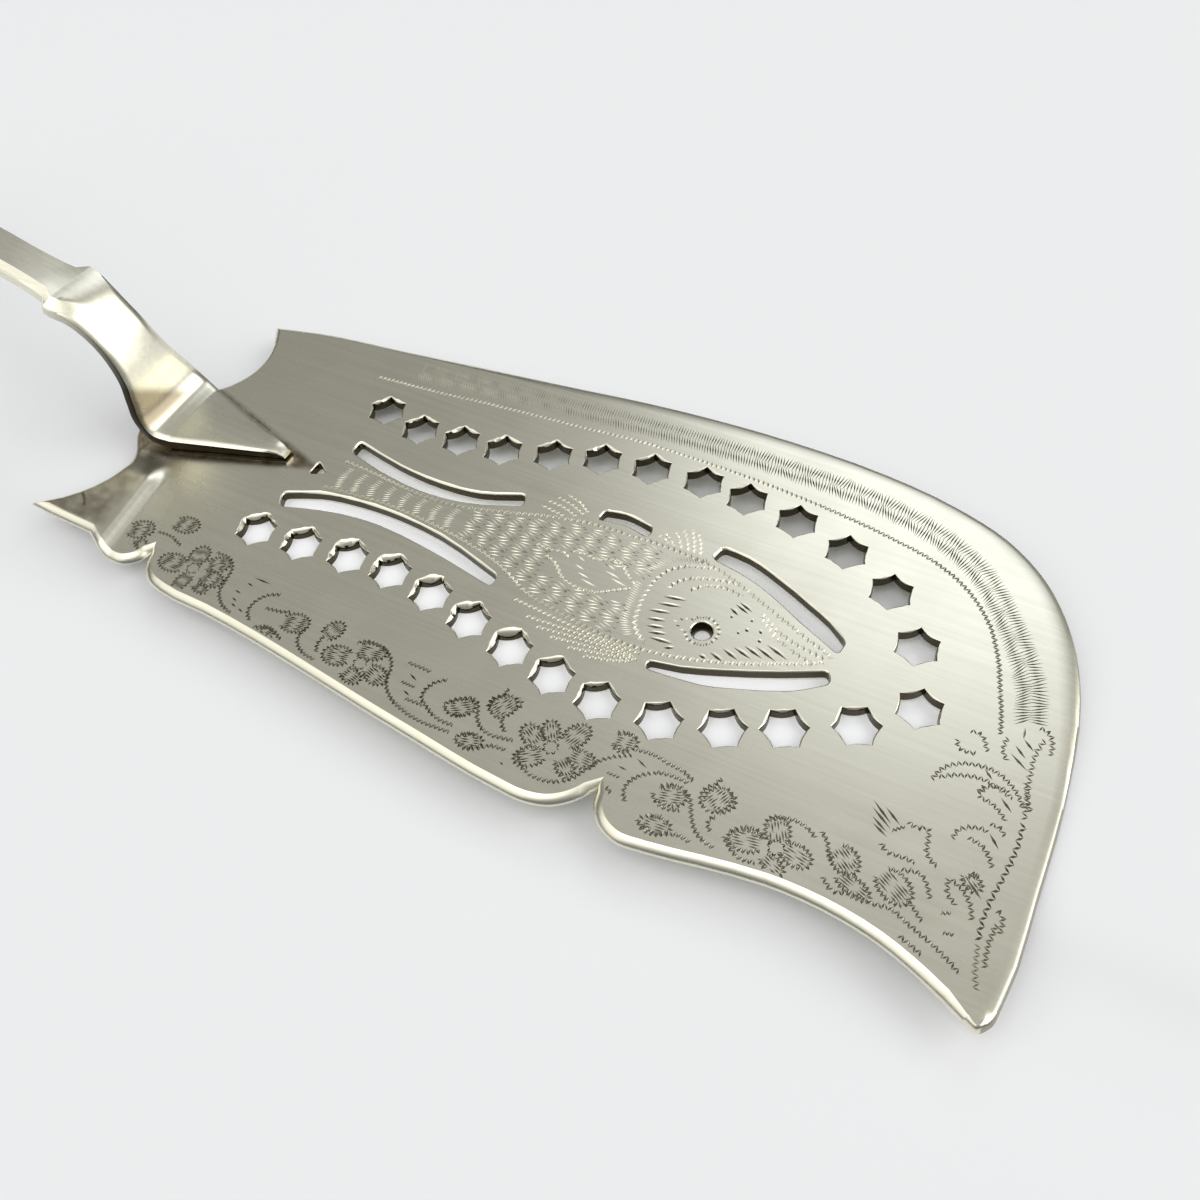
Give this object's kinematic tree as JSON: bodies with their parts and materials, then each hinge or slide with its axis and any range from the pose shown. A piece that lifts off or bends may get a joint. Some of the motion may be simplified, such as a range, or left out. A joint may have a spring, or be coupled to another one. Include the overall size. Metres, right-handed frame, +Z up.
{
  "type": "fish slice",
  "caption": "Serving slice with a broad flat curved blade pierced with drain holes and a fish figure, on a cranked strap handle with a fiddle end, for lifting cooked fish.",
  "frame": {"origin": "centre of the bounding box at table level, under the rear of the blade", "axes": "+X along the handle towards the blade's nose, +Y across towards the blade's long back edge, +Z up from the table"},
  "size_m": [0.32, 0.085, 0.0451],
  "materials": {
    "blade_plate": "worn silver plate on nickel silver, fine directional scratches, engraved",
    "handle_plate": "worn silver plate on nickel silver, smooth",
    "hard_solder": "dull hard solder, slightly tarnished"
  },
  "bodies": {
    "root": {"blade": "blade_plate", "handle": "handle_plate", "solder_seam": "hard_solder"}
  },
  "joints": []
}
